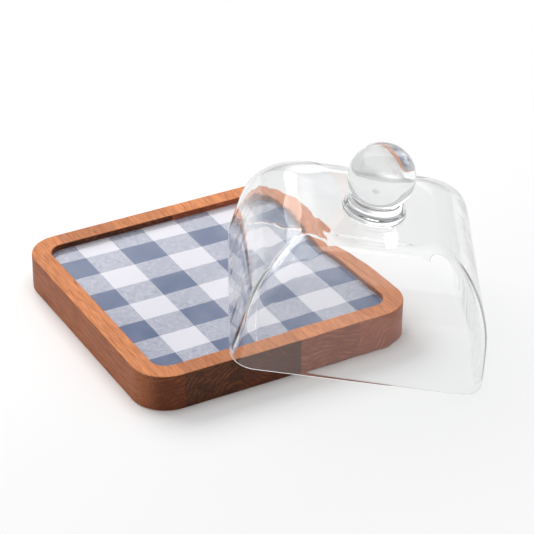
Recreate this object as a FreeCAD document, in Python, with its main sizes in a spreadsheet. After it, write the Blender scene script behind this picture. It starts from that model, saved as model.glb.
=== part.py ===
"""Cheese dome: a square glass dome with a ball knob, leaning on a square wooden tray.

The tray is five edge-glued staves with a routed recess. A checked cloth lies in the recess
under a poured layer of clear resin. The origin is the centre of the tray's underside, +Z is up,
+X runs along the tray's front edge and +Y runs to its back, along the wood's grain.
"""
import FreeCAD, Part
import Sketcher
import math
import os

doc = FreeCAD.newDocument("cheese_dome")

# Driving dimensions, in millimetres and degrees.
SIZES = {
    "tray_side": 203.0,
    "tray_height": 26.5,
    "tray_corner_radius": 25.0,
    "tray_rim_width": 14.0,
    "edge_rounding": 1.0,
    "stave_1_width": 26.5,
    "stave_2_width": 43.0,
    "stave_3_width": 43.5,
    "stave_4_width": 45.0,
    "recess_depth": 4.5,
    "resin_thickness": 1.6,
    "cloth_thickness": 0.4,
    "layer_gap": 0.05,
    "rim_side": 170.0,
    "dome_height": 81.2,
    "rim_corner_radius": 17.2,
    "wall_top_corner_radius": 12.4,
    "crown_corner_radius": 17.6,
    "glass_thickness": 3.5,
    "rim_rounding": 1.0,
    "wall_draft": 7.4,
    "shoulder_reach": 43.2,
    "shoulder_rise": 61.3,
    "knob_diameter": 45.0,
    "knob_centre_height": 26.1,
    "foot_diameter": 42.0,
    "foot_edge_radius": 2.0,
    "neck_curve_radius": 6.0,
    "front_contact": -37.5,
    "dome_turn": 27.4,
    "contact_angle": 28.7,
    "lean_gap": 0.05,
}
STAVES = 5
SHOULDER_STEPS = 6
LEVEL_TOLERANCE = 0.001

sheet = doc.addObject("Spreadsheet::Sheet", "Dims")
for row, (alias, value) in enumerate(SIZES.items(), start=1):
    sheet.set(f"A{row}", alias)
    sheet.set(f"B{row}", str(value))
    sheet.setAlias(f"B{row}", alias)
doc.recompute()


def new_body(name):
    """A part body whose Label names its node."""
    body = doc.addObject("PartDesign::Body", name)
    body.Label = name
    return body


def new_sketch(body, name, plane="XY_Plane", level=None):
    """A sketch on one of the body's own origin planes, raised by a formula of the sizes."""
    sketch = body.newObject("Sketcher::SketchObject", name)
    for feature in body.Origin.OriginFeatures:
        if feature.Role == plane:
            sketch.AttachmentSupport = [(feature, "")]
    sketch.MapMode = "FlatFace"
    if level is not None:
        sketch.setExpression("AttachmentOffset.Base.z", level)
    return sketch


def bind(sketch, constraint, name, formula):
    """Add a dimension to a sketch and drive it by a formula of the sizes."""
    index = sketch.addConstraint(constraint)
    sketch.renameConstraint(index, name)
    sketch.setExpression(f"Constraints.{name}", formula)


def rounded_square(body, name, half_side, corner, level=None):
    """A centred square with rounded corners, drawn as four sides and four arcs."""
    sketch = new_sketch(body, name, level=level)
    first_half = 60.0
    first_corner = 12.0
    flat = first_half - first_corner
    up = FreeCAD.Vector(0, 0, 1)
    for turn in range(4):
        spin = FreeCAD.Rotation(up, 90 * turn)
        start = spin.multVec(FreeCAD.Vector(-flat, -first_half, 0))
        end = spin.multVec(FreeCAD.Vector(flat, -first_half, 0))
        centre = spin.multVec(FreeCAD.Vector(flat, -flat, 0))
        sketch.addGeometry(Part.LineSegment(start, end), False)
        circle = Part.Circle(centre, up, first_corner)
        arc_start = math.radians(90 * turn - 90)
        arc_end = math.radians(90 * turn)
        sketch.addGeometry(Part.ArcOfCircle(circle, arc_start, arc_end), False)
    for turn in range(4):
        side = 2 * turn
        arc = side + 1
        next_side = (side + 2) % 8
        sketch.addConstraint(Sketcher.Constraint("Tangent", side, 2, arc, 1))
        sketch.addConstraint(Sketcher.Constraint("Tangent", arc, 2, next_side, 1))
        if turn > 0:
            sketch.addConstraint(Sketcher.Constraint("Equal", 1, arc))
    sketch.addConstraint(Sketcher.Constraint("Symmetric", 0, 1, 0, 2, -2))
    sketch.addConstraint(Sketcher.Constraint("Symmetric", 2, 1, 2, 2, -1))
    sketch.addConstraint(Sketcher.Constraint("Horizontal", 4))
    sketch.addConstraint(Sketcher.Constraint("Vertical", 6))
    bind(sketch, Sketcher.Constraint("Radius", 1, first_corner), "corner", corner)
    bind(sketch, Sketcher.Constraint("DistanceX", -1, 1, 2, 1, first_half), "half_x", half_side)
    bind(sketch, Sketcher.Constraint("DistanceY", 0, 1, -1, 1, first_half), "half_y", half_side)
    return sketch


def padded_square(name, half_side, corner, level, thickness):
    """A flat plate with rounded corners, in a body of its own."""
    body = new_body(name)
    pad = body.newObject("PartDesign::Pad", name + "_pad")
    pad.Profile = rounded_square(body, name + "_outline", half_side, corner, level)
    pad.setExpression("Length", thickness)
    return body


def edges_at(shape, level):
    """Names of the edges that lie flat at one height."""
    names = []
    for number, edge in enumerate(shape.Edges, start=1):
        low = edge.BoundBox.ZMin
        high = edge.BoundBox.ZMax
        if abs(low - level) < LEVEL_TOLERANCE and abs(high - level) < LEVEL_TOLERANCE:
            names.append(f"Edge{number}")
    return names


def size(name):
    """The present value of a driving dimension."""
    return float(sheet.get(name))


# The tray's recess, worked out from the driving dimensions.
HALF_TRAY = "Dims.tray_side / 2"
HALF_RECESS = "(Dims.tray_side / 2 - Dims.tray_rim_width)"
RECESS_CORNER = "(Dims.tray_corner_radius - Dims.tray_rim_width)"
RECESS_TOTAL = "(Dims.recess_depth + Dims.resin_thickness + Dims.cloth_thickness)"
RECESS_FLOOR = f"Dims.tray_height - {RECESS_TOTAL}"


def shoulder_start(depth):
    """Formula for the angle on the shoulder's ellipse at which the drafted wall touches it."""
    steepness = f"(Dims.shoulder_rise - {depth}) / (Dims.shoulder_reach - {depth})"
    return f"atan({steepness} * tan(Dims.wall_draft))"


# The dome's wall leans in, up to the level where it touches the shoulder's ellipse.
ELLIPSE_LEVEL = "(Dims.dome_height - Dims.shoulder_rise)"
WALL_TOP = f"({ELLIPSE_LEVEL} + Dims.shoulder_rise * sin({shoulder_start('0')}))"
WALL_TOP_HALF = f"(Dims.rim_side / 2 - tan(Dims.wall_draft) * {WALL_TOP})"
SHOULDER_CENTRE = f"({WALL_TOP_HALF} - Dims.shoulder_reach * cos({shoulder_start('0')}))"


def glued_board():
    """The whole tray after routing: outline, recess and softened edges."""
    body = new_body("glued_board")
    pad = body.newObject("PartDesign::Pad", "board_pad")
    pad.Profile = rounded_square(body, "board_outline", HALF_TRAY, "Dims.tray_corner_radius")
    pad.setExpression("Length", "Dims.tray_height")
    pocket = body.newObject("PartDesign::Pocket", "recess_pocket")
    pocket.Profile = rounded_square(body, "recess_outline", HALF_RECESS, RECESS_CORNER, "Dims.tray_height")
    pocket.setExpression("Length", RECESS_TOTAL)
    doc.recompute()
    cut = pad.Shape.Volume - pocket.Shape.Volume
    print(f"recess cuts {cut:.0f} mm3")
    if cut <= 0:
        raise RuntimeError("the recess cuts nothing")
    fillet = body.newObject("PartDesign::Fillet", "board_edges")
    top_edges = edges_at(pocket.Shape, size("tray_height"))
    bottom_edges = edges_at(pocket.Shape, 0)
    fillet.Base = (pocket, top_edges + bottom_edges)
    fillet.setExpression("Radius", "Dims.edge_rounding")
    return body


def tray_stave(number, board):
    """One stave: the slice of the routed board between two glue lines."""
    widths = [f"Dims.stave_{before}_width" for before in range(1, number)]
    start = " + ".join(["0"] + widths)
    slab = doc.addObject("Part::Box", f"stave_{number}_slab")
    if number < STAVES:
        slab.setExpression("Length", f"Dims.stave_{number}_width")
    else:
        slab.setExpression("Length", f"Dims.tray_side - ({start})")
    slab.setExpression("Width", "Dims.tray_side")
    slab.setExpression("Height", "Dims.tray_height")
    slab.setExpression("Placement.Base.x", f"{start} - Dims.tray_side / 2")
    slab.setExpression("Placement.Base.y", "-Dims.tray_side / 2")
    stave = doc.addObject("Part::Common", f"tray_stave_{number}")
    stave.Base = board
    stave.Tool = slab
    stave.Label = f"tray_stave_{number}"
    return stave


def recess_layers():
    """The checked cloth on the recess floor and the clear resin poured over it."""
    half = f"{HALF_RECESS} - Dims.layer_gap"
    corner = f"{RECESS_CORNER} - Dims.layer_gap"
    cloth = padded_square("gingham_cloth", half, corner, RECESS_FLOOR, "Dims.cloth_thickness")
    resin_level = f"{RECESS_FLOOR} + Dims.cloth_thickness"
    resin = padded_square("resin_layer", half, corner, resin_level, "Dims.resin_thickness")
    return [cloth, resin]


def rim_section(body, name, depth):
    """The dome's outline at its rim, outside or at a depth in the glass."""
    inset = f"{depth} / cos(Dims.wall_draft)"
    half = f"Dims.rim_side / 2 - {inset}"
    corner = f"Dims.rim_corner_radius - {inset}"
    return rounded_square(body, name, half, corner, "0")


def shoulder_section(body, name, depth, share):
    """The dome's outline at a share of the way from the wall's top to the crown."""
    start = shoulder_start(depth)
    angle = f"({start} + (90 deg - {start}) * {share})"
    half = f"{SHOULDER_CENTRE} + (Dims.shoulder_reach - {depth}) * cos({angle})"
    level = f"{ELLIPSE_LEVEL} + (Dims.shoulder_rise - {depth}) * sin({angle})"
    growth = "(Dims.crown_corner_radius - Dims.wall_top_corner_radius)"
    corner = f"Dims.wall_top_corner_radius + {growth} * {share} - {depth} * cos({angle})"
    return rounded_square(body, name, half, corner, level)


def dome_lofts(body, side, kind, depth):
    """A straight loft up the drafted wall and a smooth one round the shoulder to the crown."""
    rim = rim_section(body, f"{side}_rim", depth)
    arc = []
    for step in range(SHOULDER_STEPS + 1):
        share = f"{step} / {SHOULDER_STEPS}"
        arc.append(shoulder_section(body, f"{side}_shoulder_{step}", depth, share))
    wall = body.newObject(kind, f"{side}_wall")
    wall.Profile = rim
    wall.Sections = [arc[0]]
    wall.Ruled = True
    doc.recompute()
    shoulder = body.newObject(kind, f"{side}_shoulder")
    shoulder.Profile = arc[0]
    shoulder.Sections = arc[1:]
    doc.recompute()
    return shoulder


def dome_shell():
    """The pressed glass shell: its outside, its hollow cut from it, and a softened rim."""
    body = new_body("dome_shell")
    outside = dome_lofts(body, "outer", "PartDesign::AdditiveLoft", "0")
    inside = dome_lofts(body, "inner", "PartDesign::SubtractiveLoft", "Dims.glass_thickness")
    hollow = outside.Shape.Volume - inside.Shape.Volume
    print(f"dome hollow {hollow:.0f} mm3")
    if hollow <= 0:
        raise RuntimeError("the dome is not hollow")
    rim = body.newObject("PartDesign::Fillet", "rim_edges")
    rim.Base = (inside, edges_at(inside.Shape, 0))
    rim.setExpression("Radius", "Dims.rim_rounding")
    return body


def outer_crossing(first, first_radius, second, second_radius):
    """Where two circles of the knob's profile cross, on the side away from its axis."""
    apart = second - first
    distance = apart.Length
    along = (first_radius ** 2 - second_radius ** 2 + distance ** 2) / (2 * distance)
    across = math.sqrt(first_radius ** 2 - along ** 2)
    outward = FreeCAD.Vector(-apart.y, apart.x, 0) / distance
    return first + apart * (along / distance) + outward * across


def dome_knob():
    """The solid ball knob: a ball, a waisted neck and a flared foot, turned about its axis."""
    body = new_body("dome_knob")
    sketch = new_sketch(body, "knob_profile", plane="XZ_Plane")
    ball = size("knob_diameter") / 2
    centre = size("knob_centre_height")
    foot = size("foot_diameter") / 2
    edge = size("foot_edge_radius")
    neck = size("neck_curve_radius")
    axis_point = FreeCAD.Vector(0, 0, 0)
    out = FreeCAD.Vector(0, 0, 1)
    ball_centre = FreeCAD.Vector(0, centre, 0)
    edge_centre = FreeCAD.Vector(foot - edge, edge, 0)
    neck_centre = outer_crossing(ball_centre, ball + neck, edge_centre, edge + neck)
    to_ball = ball_centre - neck_centre
    to_edge = edge_centre - neck_centre
    ball_angle = math.atan2(-to_ball.y, -to_ball.x)
    edge_angle = math.atan2(-to_edge.y, -to_edge.x)
    sketch.addGeometry(Part.LineSegment(axis_point, FreeCAD.Vector(foot - edge, 0, 0)), False)
    edge_circle = Part.Circle(edge_centre, out, edge)
    sketch.addGeometry(Part.ArcOfCircle(edge_circle, -math.pi / 2, edge_angle), False)
    neck_circle = Part.Circle(neck_centre, out, neck)
    sketch.addGeometry(Part.ArcOfCircle(neck_circle, ball_angle + math.pi, edge_angle + math.pi), False)
    ball_circle = Part.Circle(ball_centre, out, ball)
    sketch.addGeometry(Part.ArcOfCircle(ball_circle, ball_angle, math.pi / 2), False)
    top = FreeCAD.Vector(0, centre + ball, 0)
    sketch.addGeometry(Part.LineSegment(top, axis_point), False)
    sketch.addConstraint(Sketcher.Constraint("Coincident", 0, 1, -1, 1))
    sketch.addConstraint(Sketcher.Constraint("Horizontal", 0))
    sketch.addConstraint(Sketcher.Constraint("Tangent", 0, 2, 1, 1))
    sketch.addConstraint(Sketcher.Constraint("Tangent", 1, 2, 2, 2))
    sketch.addConstraint(Sketcher.Constraint("Tangent", 2, 1, 3, 1))
    sketch.addConstraint(Sketcher.Constraint("Coincident", 3, 2, 4, 1))
    sketch.addConstraint(Sketcher.Constraint("Coincident", 4, 2, 0, 1))
    sketch.addConstraint(Sketcher.Constraint("PointOnObject", 4, 1, -2))
    sketch.addConstraint(Sketcher.Constraint("PointOnObject", 3, 3, -2))
    bind(sketch, Sketcher.Constraint("Radius", 1, edge), "foot_edge", "Dims.foot_edge_radius")
    bind(sketch, Sketcher.Constraint("Radius", 2, neck), "neck", "Dims.neck_curve_radius")
    bind(sketch, Sketcher.Constraint("Radius", 3, ball), "ball", "Dims.knob_diameter / 2")
    foot_centre = "Dims.foot_diameter / 2 - Dims.foot_edge_radius"
    bind(sketch, Sketcher.Constraint("DistanceX", -1, 1, 1, 3, foot - edge), "foot", foot_centre)
    bind(sketch, Sketcher.Constraint("DistanceY", -1, 1, 3, 3, centre), "level", "Dims.knob_centre_height")
    turned = body.newObject("PartDesign::Revolution", "knob_turned")
    turned.Profile = sketch
    turned.ReferenceAxis = (sketch, ["V_Axis"])
    turned.Angle = 360
    return body


def leaning_place(height):
    """Formula for the place of a piece that stands a given height above the dome's rim.

    The rim rests on the tray at two points. One is on the inner arc of the rim's near corner,
    where that arc crosses the tray's front edge. The other is where the inner face of the far
    wall crosses the tray's right edge. The outermost corner of the rim then rests on the table.
    """
    rim_width = "Dims.glass_thickness / cos(Dims.wall_draft)"
    inner_corner = f"(Dims.rim_corner_radius - {rim_width})"
    corner_centre = "(Dims.rim_side / 2 - Dims.rim_corner_radius)"
    contact_x = f"({corner_centre} + {inner_corner} * cos(Dims.contact_angle))"
    contact_y = f"({corner_centre} + {inner_corner} * sin(Dims.contact_angle))"
    across = f"({contact_y} + Dims.rim_side / 2 - {rim_width})"
    edge_run = "(Dims.tray_side / 2 - Dims.front_contact)"
    bearing = f"atan(({across} / {edge_run} - sin(Dims.dome_turn)) / cos(Dims.dome_turn))"
    chord = f"({bearing} + 1 deg * Dims.dome_turn)"
    overhang = f"{inner_corner} * sin({chord} - 1 deg * Dims.contact_angle)"
    reach = f"(2 * {corner_centre} * sin({chord}) + Dims.rim_corner_radius + {overhang})"
    contact_level = "(Dims.tray_height + Dims.lean_gap)"
    lean = f"asin({contact_level} / {reach})"
    hinge = f"vector(Dims.front_contact; -Dims.tray_side / 2; {contact_level})"
    rim_centre = f"vector({contact_x}; {contact_y}; {height})"
    tilt = f"placement({hinge}; rotationz({bearing}) * rotationx({lean}) * rotationz(-{chord}))"
    return f"{tilt} * placement({rim_centre}; rotationz(0))"


def checked(parts):
    """Stop if any object failed or any part's shape is missing or broken."""
    doc.recompute()
    for item in doc.Objects:
        if "Invalid" in item.State or "Error" in item.State:
            raise RuntimeError(f"{item.Name} failed: {item.State}")
    for item in parts:
        if item.Shape.isNull() or not item.Shape.isValid():
            raise RuntimeError(f"{item.Label} has no valid shape")
        print(f"{item.Label}: {len(item.Shape.Solids)} solid, {item.Shape.Volume:.0f} mm3")


board = glued_board()
tray_parts = [tray_stave(number, board) for number in range(1, STAVES + 1)]
tray_parts += recess_layers()
shell = dome_shell()
shell.setExpression("Placement", leaning_place("0"))
knob = dome_knob()
knob.setExpression("Placement", leaning_place("Dims.dome_height"))
all_parts = tray_parts + [shell, knob]
checked(all_parts)
os.makedirs("parts", exist_ok=True)
for item in all_parts:
    item.Shape.exportStep(f"parts/{item.Label}.step")
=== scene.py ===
"""Cheese dome: a clear square glass dome leaning on a wooden tray with checked cloth under resin.

Everything is in metres. The dome's pieces are made level, on the middle of their own rim, and are
then placed where the frame's glass shell leans.
"""
import bpy
import math
from mathutils import Matrix, Vector, noise

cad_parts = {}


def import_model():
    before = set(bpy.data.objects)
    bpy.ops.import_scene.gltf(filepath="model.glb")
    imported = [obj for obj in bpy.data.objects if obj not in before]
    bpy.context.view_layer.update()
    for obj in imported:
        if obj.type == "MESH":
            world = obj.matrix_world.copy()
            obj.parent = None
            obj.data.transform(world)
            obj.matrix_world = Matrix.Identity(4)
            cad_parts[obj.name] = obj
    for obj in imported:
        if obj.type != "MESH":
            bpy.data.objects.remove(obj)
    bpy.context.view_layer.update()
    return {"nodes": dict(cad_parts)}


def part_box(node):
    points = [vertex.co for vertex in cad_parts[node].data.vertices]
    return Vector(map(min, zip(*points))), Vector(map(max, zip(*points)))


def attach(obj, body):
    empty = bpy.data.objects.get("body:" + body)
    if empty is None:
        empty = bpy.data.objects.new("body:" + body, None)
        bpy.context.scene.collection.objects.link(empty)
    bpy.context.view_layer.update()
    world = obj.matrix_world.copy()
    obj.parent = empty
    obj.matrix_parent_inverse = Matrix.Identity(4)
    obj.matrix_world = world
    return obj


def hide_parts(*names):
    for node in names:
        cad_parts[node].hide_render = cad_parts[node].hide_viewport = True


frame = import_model()

MM = 0.001

# Camera, at the photograph's angle.
CAMERA_AZIMUTH = math.radians(-29.07)
CAMERA_ELEVATION = math.radians(30.85)
CAMERA_ROLL = math.radians(0.304)
CAMERA_DISTANCE = 1.601
CAMERA_RIGHT = 0.0364
CAMERA_UP = 0.0276
CAMERA_LENS = 154.76

# Tray, read from the frame.
STAVES = [f"tray_stave_{number}" for number in range(1, 6)]
TRAY_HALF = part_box("tray_stave_5")[1].x
TRAY_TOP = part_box("tray_stave_5")[1].z
RESIN_LOW, RESIN_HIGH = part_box("resin_layer")
CLOTH_LOW, CLOTH_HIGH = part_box("gingham_cloth")
RECESS_CORNER = 10.95 * MM

# Dome.
RIM_HALF = 85 * MM
DOME_HEIGHT = 81.2 * MM
RIM_CORNER = 17.2 * MM
WALL_TOP_CORNER = 12.4 * MM
CROWN_CORNER = 17.6 * MM
GLASS = 3.5 * MM
WALL_DRAFT = math.radians(7.4)
SHOULDER_REACH = 43.2 * MM
SHOULDER_RISE = 61.3 * MM
KNOB_RADIUS = 22.5 * MM
KNOB_LEVEL = 26.1 * MM
FOOT_RADIUS = 21 * MM
FOOT_EDGE = 2 * MM
NECK_CURVE = 6 * MM
FOOT_BLEND = 0.8 * MM

# How the dome leans: where its rim meets the tray's front edge, and its turn.
FRONT_CONTACT = -37.5 * MM
DOME_TURN = math.radians(27.4)
CONTACT_ANGLE = math.radians(28.7)
LEAN_GAP = 0.05 * MM


def new_mesh_object(name, points, faces, smooth=True):
    """A mesh object from plain lists."""
    mesh = bpy.data.meshes.new(name)
    mesh.from_pydata([tuple(point) for point in points], [], faces)
    mesh.validate()
    if smooth:
        mesh.shade_smooth()
    piece = bpy.data.objects.new(name, mesh)
    bpy.context.scene.collection.objects.link(piece)
    return piece


def rows_to_faces(rows, count):
    """Quads between rings of points, each ring closed and count points long."""
    faces = []
    for row in range(rows - 1):
        for step in range(count):
            after = (step + 1) % count
            low = row * count
            high = low + count
            faces.append((low + step, low + after, high + after, high + step))
    return faces


# Dome geometry.

SIDE_STEPS = 56
CORNER_STEPS = 24


def rounded_square(half, corner, level):
    """One closed ring of a square with rounded corners, starting on the +X side."""
    flat = half - corner
    ring = []
    for quarter in range(4):
        turn = quarter * math.pi / 2
        across = [(half, flat * (2 * step / SIDE_STEPS - 1)) for step in range(SIDE_STEPS)]
        for step in range(CORNER_STEPS):
            angle = math.pi / 2 * step / CORNER_STEPS
            across.append((flat + corner * math.cos(angle), flat + corner * math.sin(angle)))
        spin = Matrix.Rotation(turn, 3, "Z")
        ring += [spin @ Vector((x, y, level)) for x, y in across]
    return ring


RING = 4 * (SIDE_STEPS + CORNER_STEPS)
WALL_STEPS = 22
SHOULDER_STEPS = 44


def shoulder_start(depth):
    """Angle on the shoulder's ellipse at which the drafted wall touches it."""
    steepness = (SHOULDER_RISE - depth) / (SHOULDER_REACH - depth)
    return math.atan(steepness * math.tan(WALL_DRAFT))


ELLIPSE_LEVEL = DOME_HEIGHT - SHOULDER_RISE
WALL_TOP = ELLIPSE_LEVEL + SHOULDER_RISE * math.sin(shoulder_start(0))
WALL_TOP_HALF = RIM_HALF - math.tan(WALL_DRAFT) * WALL_TOP
SHOULDER_CENTRE = WALL_TOP_HALF - SHOULDER_REACH * math.cos(shoulder_start(0))


def between(first, second, share):
    """A value part of the way from one number to another."""
    return first + (second - first) * share


def dome_rings(depth, lift):
    """Rings from the rim to the crown's edge, at a depth in the glass; lift raises the first."""
    inset = depth / math.cos(WALL_DRAFT)
    start = shoulder_start(depth)
    top = ELLIPSE_LEVEL + (SHOULDER_RISE - depth) * math.sin(start)
    top_half = SHOULDER_CENTRE + (SHOULDER_REACH - depth) * math.cos(start)
    rings = []
    for step in range(WALL_STEPS):
        level = between(lift, top, step / WALL_STEPS)
        half = between(RIM_HALF - inset, top_half, level / top)
        corner = between(WALL_TOP_CORNER, RIM_CORNER, (1 - level / top) ** 1.5) - inset
        rings.append(rounded_square(half, corner, level))
    for step in range(SHOULDER_STEPS + 1):
        share = step / SHOULDER_STEPS
        angle = between(start, math.pi / 2, share)
        half = SHOULDER_CENTRE + (SHOULDER_REACH - depth) * math.cos(angle)
        corner = between(WALL_TOP_CORNER, CROWN_CORNER, share ** 1.5) - depth * math.cos(angle)
        level = ELLIPSE_LEVEL + (SHOULDER_RISE - depth) * math.sin(angle)
        rings.append(rounded_square(half, corner, level))
    return rings


def toward_circle(ring, radius, steps, level):
    """Rings that carry a square outline in to a circle at one level."""
    rings = []
    for step in range(1, steps + 1):
        share = step / steps
        inner = []
        for point in ring:
            flat = Vector((point.x, point.y, 0))
            circle = flat.normalized() * radius
            spot = flat.lerp(circle, share)
            inner.append(Vector((spot.x, spot.y, level)))
        rings.append(inner)
    return rings


RIM_STEPS = 10


def rim_rings(outer, inner):
    """The fire-polished rim: half a circle from the inner wall's foot round to the outer's."""
    rings = []
    for step in range(1, RIM_STEPS):
        angle = math.pi * step / RIM_STEPS
        ring = []
        for out_point, in_point in zip(outer, inner):
            middle = (out_point + in_point) / 2
            arm = (in_point - out_point) / 2
            drop = Vector((0, 0, -arm.length))
            ring.append(middle + arm * math.cos(angle) + drop * math.sin(angle))
        rings.append(ring)
    return rings


# The unevenness of the pressed glass's inside: how deep each of its waves is.
BROAD_WAVE = 0.15 * MM
WALL_WAVE = 0.085 * MM
SHOULDER_WAVE = 0.022 * MM
RIPPLE = 0.012 * MM
CALM_LEVEL = 25 * MM
CALM_RISE = 35 * MM


def glass_wave(point):
    """How far the glass's inside stands off at a point: drawn out up the walls, calmer above."""
    calm = min(max((point.z - CALM_LEVEL) / CALM_RISE, 0), 1)
    broad = noise.noise(Vector((point.x * 38, point.y * 38, point.z * 12)))
    fine = noise.noise(Vector((point.x * 150 + 7, point.y * 150, point.z * 22)))
    ripple = noise.noise(Vector((point.x * 340, point.y * 340 + 3, point.z * 60)))
    return BROAD_WAVE * broad + between(WALL_WAVE, SHOULDER_WAVE, calm) * fine + RIPPLE * ripple


CEILING_MIDDLE = 0.2 * MM
CEILING_STEPS = 16
CROWN_STEPS = 10


def shell_rings():
    """All rings of the shell: up the inside from its crown to the rim, and on up the outside."""
    lift = GLASS / 2
    inside = dome_rings(GLASS, lift)
    outside = dome_rings(0, lift)
    ceiling = toward_circle(inside[-1], CEILING_MIDDLE, CEILING_STEPS, DOME_HEIGHT - GLASS)
    crown = toward_circle(outside[-1], FOOT_RADIUS + FOOT_BLEND, CROWN_STEPS, DOME_HEIGHT)
    waved = []
    for ring in ceiling[::-1] + inside[::-1]:
        centre = Vector((0, 0, ELLIPSE_LEVEL))
        waved.append([point + (point - centre).normalized() * glass_wave(point) for point in ring])
    rim = rim_rings(outside[0], waved[-1])
    return waved + rim + outside + crown


def glass_shell():
    """The dome's shell, open only where the knob's foot grows out of its crown."""
    rings = shell_rings()
    points = [point for ring in rings for point in ring]
    faces = rows_to_faces(len(rings), RING)
    faces.append(tuple(range(RING))[::-1])
    return new_mesh_object("glass_dome", points, faces)


def arc_points(centre, radius, start, end, steps):
    """Points on an arc, both ends included."""
    spots = []
    for step in range(steps + 1):
        angle = start + (end - start) * step / steps
        spots.append(centre + Vector((math.cos(angle), math.sin(angle))) * radius)
    return spots


def knob_profile():
    """Radius and height of the knob's outline, from its foot's blend up to the ball's top."""
    ball = Vector((0, KNOB_LEVEL))
    edge = Vector((FOOT_RADIUS - FOOT_EDGE, FOOT_EDGE))
    apart = edge - ball
    first = KNOB_RADIUS + NECK_CURVE
    second = FOOT_EDGE + NECK_CURVE
    along = (first ** 2 - second ** 2 + apart.length ** 2) / (2 * apart.length)
    across = math.sqrt(first ** 2 - along ** 2)
    outward = Vector((-apart.y, apart.x)).normalized()
    neck = ball + apart.normalized() * along + outward * across
    ball_turn = math.atan2(neck.y - ball.y, neck.x - ball.x)
    edge_turn = math.atan2(neck.y - edge.y, neck.x - edge.x)
    outline = []
    blend = Vector((FOOT_RADIUS + FOOT_BLEND, FOOT_BLEND))
    outline += arc_points(blend, FOOT_BLEND, -math.pi / 2, -math.pi, 6)
    outline += arc_points(edge, FOOT_EDGE, 0, edge_turn, 10)
    outline += arc_points(neck, NECK_CURVE, edge_turn + math.pi, ball_turn + math.pi, 24)[1:]
    outline += arc_points(ball, KNOB_RADIUS, ball_turn, math.pi / 2, 90)[1:]
    return outline


def glass_knob():
    """The solid ball knob, turned round its axis and open below, where it joins the crown."""
    crown = rounded_square(FOOT_RADIUS, RIM_CORNER, 0)
    turns = [math.atan2(point.y, point.x) for point in crown]
    rings = []
    for radius, height in knob_profile()[:-1]:
        level = DOME_HEIGHT + height
        ring = [Vector((radius * math.cos(turn), radius * math.sin(turn), level)) for turn in turns]
        rings.append(ring)
    points = [point for ring in rings for point in ring]
    faces = rows_to_faces(len(rings), RING)
    top = len(points)
    points.append(Vector((0, 0, DOME_HEIGHT + KNOB_LEVEL + KNOB_RADIUS)))
    last = (len(rings) - 1) * RING
    for step in range(RING):
        faces.append((last + step, last + (step + 1) % RING, top))
    return new_mesh_object("glass_knob", points, faces)


def leaning_place():
    """Where the dome leans: on the tray's front and right edges and on one corner of its rim."""
    rim_width = GLASS / math.cos(WALL_DRAFT)
    inner_corner = RIM_CORNER - rim_width
    corner_centre = RIM_HALF - RIM_CORNER
    contact_x = corner_centre + inner_corner * math.cos(CONTACT_ANGLE)
    contact_y = corner_centre + inner_corner * math.sin(CONTACT_ANGLE)
    across = contact_y + RIM_HALF - rim_width
    edge_run = TRAY_HALF - FRONT_CONTACT
    bearing = math.atan((across / edge_run - math.sin(DOME_TURN)) / math.cos(DOME_TURN))
    chord = bearing + DOME_TURN
    overhang = inner_corner * math.sin(chord - CONTACT_ANGLE)
    reach = 2 * corner_centre * math.sin(chord) + RIM_CORNER + overhang
    contact_level = TRAY_TOP + LEAN_GAP
    lean = math.asin(contact_level / reach)
    hinge = Matrix.Translation((FRONT_CONTACT, -TRAY_HALF, contact_level))
    turned = Matrix.Rotation(bearing, 4, "Z") @ Matrix.Rotation(lean, 4, "X")
    turned = turned @ Matrix.Rotation(-chord, 4, "Z")
    return hinge @ turned @ Matrix.Translation((contact_x, contact_y, 0))


# Materials.


def new_material(name):
    """An empty node material and its output."""
    material = bpy.data.materials.new(name)
    material.use_nodes = True
    tree = material.node_tree
    tree.nodes.clear()
    output = tree.nodes.new("ShaderNodeOutputMaterial")
    return material, tree, output


def linked(tree, socket, value):
    """Feed a socket with another socket, or set it to a plain value."""
    if isinstance(value, bpy.types.NodeSocket):
        tree.links.new(value, socket)
    else:
        socket.default_value = value


def math_node(tree, kind, first, second=None, clamp=False):
    """A Math node; each input is a socket or a number."""
    node = tree.nodes.new("ShaderNodeMath")
    node.operation = kind
    node.use_clamp = clamp
    linked(tree, node.inputs[0], first)
    if second is not None:
        linked(tree, node.inputs[1], second)
    return node.outputs[0]


def vector_math(tree, kind, first, second):
    """A Vector Math node; each input is a socket or a tuple."""
    node = tree.nodes.new("ShaderNodeVectorMath")
    node.operation = kind
    linked(tree, node.inputs[0], first)
    linked(tree, node.inputs[1], second)
    return node.outputs["Vector"]


def distance(tree, first, second=(0.0, 0.0, 0.0)):
    """How far a vector is from another one, or from the origin."""
    node = tree.nodes.new("ShaderNodeVectorMath")
    node.operation = "DISTANCE"
    linked(tree, node.inputs[0], first)
    linked(tree, node.inputs[1], second)
    return node.outputs["Value"]


def parts_of(tree, vector):
    """The X, Y and Z of a vector."""
    node = tree.nodes.new("ShaderNodeSeparateXYZ")
    tree.links.new(vector, node.inputs[0])
    return node.outputs


def mix_values(tree, factor, first, second):
    """A blend of two values."""
    node = tree.nodes.new("ShaderNodeMix")
    linked(tree, node.inputs[0], factor)
    linked(tree, node.inputs[2], first)
    linked(tree, node.inputs[3], second)
    return node.outputs[0]


def mix_colors(tree, factor, first, second, kind="MIX"):
    """A colour mix; the factor and both colours are sockets or plain values."""
    node = tree.nodes.new("ShaderNodeMix")
    node.data_type = "RGBA"
    node.blend_type = kind
    linked(tree, node.inputs[0], factor)
    linked(tree, node.inputs[6], first)
    linked(tree, node.inputs[7], second)
    return node.outputs[2]


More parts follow.
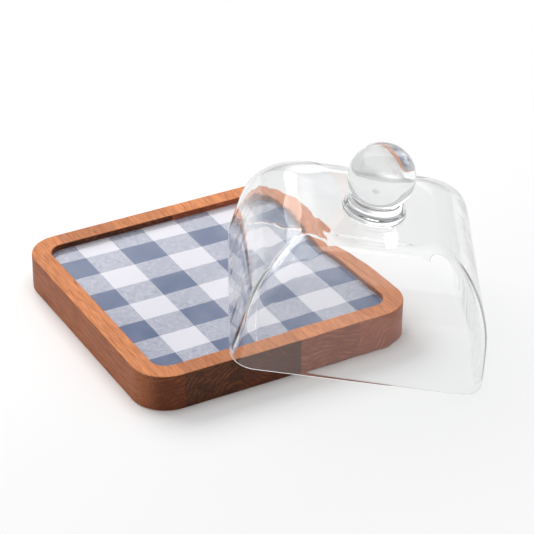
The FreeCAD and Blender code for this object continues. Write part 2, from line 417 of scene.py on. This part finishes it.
# Clear pieces: their own tints, and what they take from light that goes straight on through them.
SHELL_TINT = (0.935, 0.94, 0.94, 1)
KNOB_TINT = (0.83, 0.84, 0.842, 1)
RESIN_TINT = (0.985, 0.985, 0.99, 1)
RESIN_ROUGHNESS = 0.06
GLASS_SHADE = (0.97, 0.975, 0.975, 1)
RESIN_SHADE = (0.97, 0.97, 0.98, 1)
TURNED_TINT = (0.42, 0.425, 0.43, 1)


def clear_for_lamps(tree, shader, output, shade):
    """Let lamp light, soft bounce light and often-turned rays pass a clear piece, dimmed."""
    path = tree.nodes.new("ShaderNodeLightPath")
    passing = math_node(tree, "MAXIMUM", path.outputs["Is Shadow Ray"], path.outputs["Is Diffuse Ray"])
    mirrored = math_node(tree, "GREATER_THAN", path.outputs["Glossy Depth"], 2.5)
    deep = math_node(tree, "GREATER_THAN", path.outputs["Ray Depth"], 7.5)
    turned = math_node(tree, "MAXIMUM", mirrored, deep)
    passing = math_node(tree, "MAXIMUM", passing, turned)
    through = tree.nodes.new("ShaderNodeBsdfTransparent")
    tree.links.new(mix_colors(tree, turned, shade, TURNED_TINT), through.inputs["Color"])
    mix = tree.nodes.new("ShaderNodeMixShader")
    tree.links.new(passing, mix.inputs[0])
    tree.links.new(shader, mix.inputs[1])
    tree.links.new(through.outputs[0], mix.inputs[2])
    tree.links.new(mix.outputs[0], output.inputs["Surface"])


def clear_material(name, tint, roughness, shade):
    """Clear pressed glass or clear poured resin."""
    material, tree, output = new_material(name)
    shader = tree.nodes.new("ShaderNodeBsdfPrincipled")
    shader.inputs["Base Color"].default_value = tint
    shader.inputs["Roughness"].default_value = roughness
    shader.inputs["IOR"].default_value = 1.5
    shader.inputs["Transmission Weight"].default_value = 1.0
    clear_for_lamps(tree, shader.outputs[0], output, shade)
    return material


def noise_at(tree, vector, scale, detail=3.0, roughness=0.55, color=False):
    """A noise texture's value, or its colour, at a vector."""
    node = tree.nodes.new("ShaderNodeTexNoise")
    linked(tree, node.inputs["Vector"], vector)
    node.inputs["Scale"].default_value = scale
    node.inputs["Detail"].default_value = detail
    node.inputs["Roughness"].default_value = roughness
    return node.outputs["Color"] if color else node.outputs["Fac"]


def remap(tree, value, low, high, new_low=0.0, new_high=1.0, smooth=True):
    """A value carried from one range to another, held at the ends."""
    node = tree.nodes.new("ShaderNodeMapRange")
    node.interpolation_type = "SMOOTHSTEP" if smooth else "LINEAR"
    linked(tree, node.inputs["Value"], value)
    node.inputs["From Min"].default_value = low
    node.inputs["From Max"].default_value = high
    node.inputs["To Min"].default_value = new_low
    node.inputs["To Max"].default_value = new_high
    return node.outputs["Result"]


def bumped(tree, height, distance, strength=1.0):
    """A bump normal from a height."""
    node = tree.nodes.new("ShaderNodeBump")
    node.inputs["Strength"].default_value = strength
    node.inputs["Distance"].default_value = distance
    linked(tree, node.inputs["Height"], height)
    return node.outputs["Normal"]


# Each stave: its tone, its end grain's dark and light tones (real end grain, made darker as painted
# shade), its rings' centre, and a seed.
STAVE_LOOKS = [
    ((0.67, 0.256, 0.103, 1), (0.110, 0.026, 0.008, 1), (0.26, 0.078, 0.024, 1), (-0.105, 0.080), 3.0),
    ((0.52, 0.205, 0.092, 1), (0.055, 0.018, 0.010, 1), (0.25, 0.078, 0.022, 1), (-0.018, -0.030), 11.0),
    ((0.64, 0.245, 0.100, 1), (0.085, 0.024, 0.011, 1), (0.24, 0.070, 0.025, 1), (0.036, 0.070), 23.0),
    ((0.72, 0.272, 0.112, 1), (0.250, 0.058, 0.024, 1), (0.56, 0.165, 0.070, 1), (0.020, -0.080), 31.0),
    ((0.70, 0.262, 0.108, 1), (0.320, 0.075, 0.028, 1), (0.60, 0.180, 0.074, 1), (0.140, -0.060), 47.0),
]
RING_PITCH = 1.7 * MM
PORE_TONE = (0.28, 0.085, 0.036, 1)
# Painted shade: multiplies the colour of the faces that look along X, as if they stood in shade.
PAINTED_SIDE_SHADE = (0.58, 0.47, 0.41, 1)
PALER = (1.3, 1.42, 1.6)
WOOD_RELIEF = 0.05 * MM


def run_along(tree, vector, stretch):
    """Coordinates that are drawn out along the grain."""
    return vector_math(tree, "MULTIPLY", vector, (1.0, stretch, 1.0))


def bent_place(tree, coordinates, place):
    """Coordinates that wander slowly along the grain, as the tree's growth did."""
    drift = noise_at(tree, run_along(tree, place, 0.16), 30, detail=4.0, color=True)
    drift = vector_math(tree, "SUBTRACT", drift, (0.5, 0.5, 0.5))
    drift = vector_math(tree, "MULTIPLY", drift, (0.022, 0.0, 0.022))
    return vector_math(tree, "ADD", coordinates, drift)


def ring_distance(tree, bent, centre):
    """Growth rings: 0 to 1 and back with each pitch away from the stave's own centre."""
    from_centre = vector_math(tree, "SUBTRACT", bent, (centre[0], 0.0, centre[1]))
    away = distance(tree, vector_math(tree, "MULTIPLY", from_centre, (1.0, 0.0, 1.0)))
    return math_node(tree, "PINGPONG", math_node(tree, "DIVIDE", away, RING_PITCH), 1.0)


def facing(tree, axis, low, high):
    """1 where the surface faces along an axis, else 0."""
    normal = tree.nodes.new("ShaderNodeNewGeometry").outputs["True Normal"]
    along = math_node(tree, "ABSOLUTE", parts_of(tree, normal)[axis])
    return remap(tree, along, low, high)


def long_grain(tree, place, ring, tone, marks):
    """Colour of the faces along the grain: broad tones, rings, fibres and pores, and painted shade that
    darkens the faces looking along X.
    """
    fibre, fine, pores = marks
    broad = noise_at(tree, run_along(tree, place, 0.25), 55, detail=2.0)
    color = mix_colors(tree, remap(tree, broad, 0.3, 0.7, 0.0, 0.30), tone, PORE_TONE)
    color = mix_colors(tree, remap(tree, ring, 0.45, 1.0, 0.0, 0.22), color, PORE_TONE)
    color = mix_colors(tree, remap(tree, fine, 0.42, 0.70, 0.0, 0.42), color, PORE_TONE)
    color = mix_colors(tree, math_node(tree, "MULTIPLY", pores, 0.5), color, PORE_TONE)
    pale = tuple(part * more for part, more in zip(tone[:3], PALER)) + (1,)
    color = mix_colors(tree, remap(tree, fibre, 0.48, 0.68, 0.0, 0.52), color, pale)
    # Painted shade: the faces that look along X are multiplied darker.
    side = facing(tree, "X", 0.55, 0.9)
    return mix_colors(tree, side, color, mix_colors(tree, 1.0, color, PAINTED_SIDE_SHADE, "MULTIPLY"))


def end_grain(tree, place, bent, ring, dark, light):
    """Colour of the faces across the grain: patches, ring lines, specks and smears, dark as real end grain
    and darker still as painted shade.
    """
    upright = vector_math(tree, "MULTIPLY", place, (1.0, 1.0, 1.6))
    patch = remap(tree, noise_at(tree, upright, 90, detail=3.0), 0.36, 0.66)
    streak = math_node(tree, "MULTIPLY", patch, remap(tree, ring, 0.50, 1.0, 0.08, 0.85))
    color = mix_colors(tree, streak, dark, light)
    speck = noise_at(tree, place, 1100, detail=2.0)
    color = mix_colors(tree, remap(tree, speck, 0.42, 0.68, 0.0, 0.35), color, light)
    smear = noise_at(tree, vector_math(tree, "MULTIPLY", bent, (0.22, 1.0, 1.0)), 330, detail=4.0)
    return mix_colors(tree, remap(tree, smear, 0.50, 0.72, 0.0, 0.75), color, dark)


def acacia(number, look):
    """Oiled acacia with its grain along Y, darker where the end grain shows (real end grain deepened by
    painted shade), and with painted shade on the faces that look along X.
    """
    tone, end_dark, end_light, centre, seed = look
    material, tree, output = new_material(f"acacia_{number}")
    coordinates = tree.nodes.new("ShaderNodeTexCoord").outputs["Object"]
    place = vector_math(tree, "ADD", coordinates, (0.0, seed, 0.0))
    bent = bent_place(tree, coordinates, place)
    ring = ring_distance(tree, bent, centre)
    fibre = noise_at(tree, run_along(tree, place, 0.06), 1250, detail=3.0)
    fine = noise_at(tree, run_along(tree, place, 0.07), 820, detail=4.0)
    pores = remap(tree, noise_at(tree, run_along(tree, place, 0.10), 1000, detail=1.0), 0.60, 0.70)
    color = long_grain(tree, place, ring, tone, (fibre, fine, pores))
    end_grain_and_shade = end_grain(tree, place, bent, ring, end_dark, end_light)
    # Partly painted shade: the faces that look along Y take the darker end-grain colour.
    color = mix_colors(tree, facing(tree, "Y", 0.35, 0.85), color, end_grain_and_shade)
    shader = tree.nodes.new("ShaderNodeBsdfPrincipled")
    tree.links.new(color, shader.inputs["Base Color"])
    tree.links.new(remap(tree, fine, 0.3, 0.75, 0.42, 0.58), shader.inputs["Roughness"])
    shader.inputs["IOR"].default_value = 1.45
    shader.inputs["Specular IOR Level"].default_value = 0.25
    height = math_node(tree, "SUBTRACT", fibre, pores)
    tree.links.new(bumped(tree, height, WOOD_RELIEF, 0.5), shader.inputs["Normal"])
    tree.links.new(shader.outputs[0], output.inputs["Surface"])
    return material


# Cloth: the check's band widths, its first lines, and its threads.
CHECK_ACROSS = 26.3 * MM
CHECK_ALONG = 22.8 * MM
CHECK_FIRST_X = -91.7 * MM
CHECK_FIRST_Y = -68.4 * MM
THREAD = 0.42 * MM
CLOTH_BLUE = (0.092, 0.130, 0.242, 1)
CLOTH_WHITE = (0.735, 0.72, 0.775, 1)


def band(tree, value, first, width):
    """1 in every second band of a stripe pattern, else 0."""
    steps = math_node(tree, "DIVIDE", math_node(tree, "SUBTRACT", value, first), width)
    return math_node(tree, "FLOORED_MODULO", math_node(tree, "FLOOR", steps), 2.0)


def weave_share(tree, threads, across, along):
    """How much of the warp shows over the weft: slubs in both, and the plain weave's over-under."""
    warp_run = vector_math(tree, "MULTIPLY", threads, (1.0, 0.22, 1.0))
    weft_run = vector_math(tree, "MULTIPLY", threads, (0.22, 1.0, 1.0))
    warp_slub = noise_at(tree, warp_run, 900, detail=4.0)
    weft_slub = noise_at(tree, weft_run, 900, detail=4.0)
    share = math_node(tree, "ADD", warp_slub, math_node(tree, "SUBTRACT", 1.0, weft_slub))
    share = remap(tree, share, 0.66, 1.34, 0.18, 0.84, smooth=False)
    warp_count = math_node(tree, "FLOOR", math_node(tree, "DIVIDE", across, THREAD))
    weft_count = math_node(tree, "FLOOR", math_node(tree, "DIVIDE", along, THREAD))
    over = math_node(tree, "FLOORED_MODULO", math_node(tree, "ADD", warp_count, weft_count), 2.0)
    return mix_values(tree, 0.2, share, over)


def gingham():
    """Plain woven gingham: each thread is dyed or undyed, and the weave mixes them."""
    material, tree, output = new_material("checked_cloth")
    weave = tree.nodes.new("ShaderNodeUVMap")
    weave.uv_map = "threads"
    threads = weave.outputs[0]
    across = parts_of(tree, threads)["X"]
    along = parts_of(tree, threads)["Y"]
    warp_blue = math_node(tree, "SUBTRACT", 1.0, band(tree, across, CHECK_FIRST_X, CHECK_ACROSS))
    weft_blue = band(tree, along, CHECK_FIRST_Y, CHECK_ALONG)
    blue = mix_values(tree, weave_share(tree, threads, across, along), weft_blue, warp_blue)
    faded = remap(tree, noise_at(tree, threads, 60, detail=2.0), 0.2, 0.8, 0.92, 1.04)
    color = mix_colors(tree, math_node(tree, "MULTIPLY", blue, faded, clamp=True), CLOTH_WHITE, CLOTH_BLUE)
    shader = tree.nodes.new("ShaderNodeBsdfPrincipled")
    tree.links.new(color, shader.inputs["Base Color"])
    shader.inputs["Roughness"].default_value = 0.85
    shader.inputs["Specular IOR Level"].default_value = 0.1
    tree.links.new(shader.outputs[0], output.inputs["Surface"])
    return material


# Cloth and resin geometry.


def filled_square(name, outline, level_of, steps):
    """A flat round-cornered sheet, made of rings that shrink to its middle."""
    points = []
    for step in range(steps + 1):
        share = 1 - step / (steps + 1)
        for point in outline:
            spot = Vector((point.x * share, point.y * share, 0))
            spot.z = level_of(spot)
            points.append(spot)
    faces = rows_to_faces(steps + 1, len(outline))
    points.append(Vector((0, 0, level_of(Vector((0, 0, 0))))))
    last = steps * len(outline)
    for step in range(len(outline)):
        faces.append((last + step, last + (step + 1) % len(outline), len(points) - 1))
    return new_mesh_object(name, points, faces)


CLOTH_SINK = 0.08 * MM
CLOTH_UNEVENNESS = 0.06 * MM
CLOTH_RINGS = 40


def cloth_level(spot):
    """Height of the cloth: flat on the recess floor, with a slight unevenness."""
    return CLOTH_HIGH.z - CLOTH_SINK + CLOTH_UNEVENNESS * noise.noise(spot * 40)


# How the threads run askew: where the back rows begin to slant, by how much, and the sway.
SLANT_FROM = 35 * MM
SLANT_RUN = 45 * MM
SLANT = 0.037
SWAY = 1.1 * MM


def thread_place(spot):
    """A point of the cloth in thread coordinates: the back rows run slightly askew."""
    back = min(max((spot.y - SLANT_FROM) / SLANT_RUN, 0), 1)
    sway = noise.noise(Vector((spot.x * 14, spot.y * 14, 5))) * SWAY
    return spot.x + 0.4 * sway, spot.y + SLANT * back * spot.x + sway


def cloth_sheet():
    """The checked cloth, laid on the floor of the recess."""
    outline = rounded_square(CLOTH_HIGH.x, RECESS_CORNER, 0)
    piece = filled_square("checked_cloth", outline, cloth_level, CLOTH_RINGS)
    threads = piece.data.uv_layers.new(name="threads")
    for corner in piece.data.loops:
        spot = piece.data.vertices[corner.vertex_index].co
        threads.data[corner.index].uv = thread_place(spot)
    give(piece, gingham())
    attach(piece, "tray")
    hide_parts("gingham_cloth")


MENISCUS_RISE = 0.25 * MM
MENISCUS_RUN = 1.2 * MM
MENISCUS_STEPS = 8
RESIN_OVERLAP = 0.2 * MM


def poured_resin():
    """The resin layer, round the cloth's top: its own top climbs the recess's wall at the edge."""
    half = RESIN_HIGH.x
    rings = [rounded_square(half, RECESS_CORNER, RESIN_LOW.z - RESIN_OVERLAP)]
    for step in range(MENISCUS_STEPS + 1):
        share = step / MENISCUS_STEPS
        inset = MENISCUS_RUN * share
        level = RESIN_HIGH.z + MENISCUS_RISE * (1 - share) ** 2
        rings.append(rounded_square(half - inset, RECESS_CORNER - inset, level))
    points = [point for ring in rings for point in ring]
    faces = rows_to_faces(len(rings), RING)
    faces.append(tuple(range(RING))[::-1])
    faces.append(tuple(range(len(points) - RING, len(points))))
    piece = new_mesh_object("poured_resin", points, faces)
    give(piece, clear_material("clear_resin", RESIN_TINT, RESIN_ROUGHNESS, RESIN_SHADE))
    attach(piece, "tray")
    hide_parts("resin_layer")


def give(piece, material):
    """Give a piece one material."""
    piece.data.materials.clear()
    piece.data.materials.append(material)


# Studio.


def camera():
    """The camera, at the photograph's angle and framing."""
    back = Vector((
        math.sin(CAMERA_AZIMUTH) * math.cos(CAMERA_ELEVATION),
        -math.cos(CAMERA_AZIMUTH) * math.cos(CAMERA_ELEVATION),
        math.sin(CAMERA_ELEVATION),
    ))
    level_right = Vector((0, 0, 1)).cross(back).normalized()
    level_up = back.cross(level_right)
    right = level_right * math.cos(CAMERA_ROLL) + level_up * math.sin(CAMERA_ROLL)
    up = level_up * math.cos(CAMERA_ROLL) - level_right * math.sin(CAMERA_ROLL)
    place = back * CAMERA_DISTANCE + right * CAMERA_RIGHT + up * CAMERA_UP
    data = bpy.data.cameras.new("camera")
    data.lens = CAMERA_LENS
    data.sensor_width = 36
    data.clip_start = 0.05
    item = bpy.data.objects.new("camera", data)
    bpy.context.scene.collection.objects.link(item)
    turn = Matrix((right, up, back)).transposed()
    item.matrix_world = Matrix.Translation(place) @ turn.to_4x4()
    bpy.context.scene.camera = item


LAMP_AIM = Vector((0, 0, 0.03))


def softbox(name, place, size, watts):
    """A rectangular lamp that faces the object and is itself left out of reflections."""
    data = bpy.data.lights.new(name, "AREA")
    data.shape = "RECTANGLE"
    data.size, data.size_y = size
    data.energy = watts
    item = bpy.data.objects.new(name, data)
    bpy.context.scene.collection.objects.link(item)
    item.location = place
    item.rotation_euler = (LAMP_AIM - Vector(place)).to_track_quat("-Z", "Y").to_euler()
    item.visible_glossy = False


# The tent that reflections show: its plain level, a softbox low behind the object and a ceiling.
# Each height is a direction's Z.
TENT_LEVEL = 0.68
LOW_SOFTBOX = (0.42, 0.755, 0.48)
LOW_SOFTBOX_LEVEL = 1.84
CEILING_LEVEL = 0.8

# The studio as light, and straight overhead as seen through glass.
LIGHT_LEVEL = 0.44
OVERHEAD_LEVEL = 0.36


def tent_brightness(tree, direction):
    """Brightness of the studio tent in reflections."""
    height = parts_of(tree, direction)["Z"]
    near = remap(tree, distance(tree, direction, LOW_SOFTBOX), 0.04, 0.42, 1.0, 0.0)
    low = math_node(tree, "MULTIPLY", near, remap(tree, height, 0.494, 0.540, LOW_SOFTBOX_LEVEL, 0.0))
    overhead = remap(tree, height, 0.550, 0.630, 0.0, CEILING_LEVEL)
    return math_node(tree, "ADD", math_node(tree, "ADD", low, overhead), TENT_LEVEL)


def world():
    """A white studio: white behind the object, dimmer above through glass, softer as light."""
    studio = bpy.data.worlds.new("studio")
    bpy.context.scene.world = studio
    studio.use_nodes = True
    tree = studio.node_tree
    tree.nodes.clear()
    output = tree.nodes.new("ShaderNodeOutputWorld")
    path = tree.nodes.new("ShaderNodeLightPath")
    direction = tree.nodes.new("ShaderNodeTexCoord").outputs["Generated"]
    through = remap(tree, parts_of(tree, direction)["Z"], 0.02, 0.5, 1.0, OVERHEAD_LEVEL)
    strength = mix_values(tree, path.outputs["Is Camera Ray"], LIGHT_LEVEL, 1.0)
    strength = mix_values(tree, path.outputs["Is Transmission Ray"], strength, through)
    tent = tent_brightness(tree, direction)
    strength = mix_values(tree, path.outputs["Is Glossy Ray"], strength, tent)
    background = tree.nodes.new("ShaderNodeBackground")
    background.inputs["Color"].default_value = (1, 1, 1, 1)
    tree.links.new(strength, background.inputs["Strength"])
    tree.links.new(background.outputs[0], output.inputs["Surface"])


FLOOR_SPAN = 6.0
FLOOR_TONE = (0.93, 0.93, 0.93, 1)
FADE_START = 0.12
FADE_END = 0.48


def floor_material():
    """A pale floor that turns into the white of the backdrop away from the object."""
    material, tree, output = new_material("pale_floor")
    near = tree.nodes.new("ShaderNodeBsdfDiffuse")
    near.inputs["Color"].default_value = FLOOR_TONE
    white = tree.nodes.new("ShaderNodeEmission")
    place = tree.nodes.new("ShaderNodeNewGeometry").outputs["Position"]
    fade = remap(tree, distance(tree, place), FADE_START, FADE_END)
    path = tree.nodes.new("ShaderNodeLightPath")
    seen = math_node(tree, "MAXIMUM", path.outputs["Is Camera Ray"], path.outputs["Is Transmission Ray"])
    seen = math_node(tree, "MAXIMUM", seen, path.outputs["Is Glossy Ray"])
    mix = tree.nodes.new("ShaderNodeMixShader")
    tree.links.new(math_node(tree, "MULTIPLY", seen, fade), mix.inputs[0])
    tree.links.new(near.outputs[0], mix.inputs[1])
    tree.links.new(white.outputs[0], mix.inputs[2])
    tree.links.new(mix.outputs[0], output.inputs["Surface"])
    return material


def floor():
    """The floor, which keeps the object's shadow."""
    span = FLOOR_SPAN
    corners = [(-span, -span, 0), (span, -span, 0), (span, span, 0), (-span, span, 0)]
    piece = new_mesh_object("floor", corners, [(0, 1, 2, 3)], smooth=False)
    give(piece, floor_material())


# Build.

for number, (name, look) in enumerate(zip(STAVES, STAVE_LOOKS), start=1):
    give(frame["nodes"][name], acacia(number, look))
cloth_sheet()
poured_resin()

place = leaning_place()
shell = glass_shell()
give(shell, clear_material("clear_glass", SHELL_TINT, 0.0, GLASS_SHADE))
knob = glass_knob()
give(knob, clear_material("thick_clear_glass", KNOB_TINT, 0.0, GLASS_SHADE))
for piece, node in ((shell, "dome_shell"), (knob, "dome_knob")):
    piece.data.transform(place)
    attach(piece, "dome")
    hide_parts(node)

camera()
world()
floor()
softbox("back_softbox", (-0.25, 1.0, 1.0), (1.2, 0.8), 13)
softbox("top_softbox", (0.1, 0.1, 1.5), (0.9, 0.9), 7)

bpy.context.scene.view_settings.view_transform = "Standard"
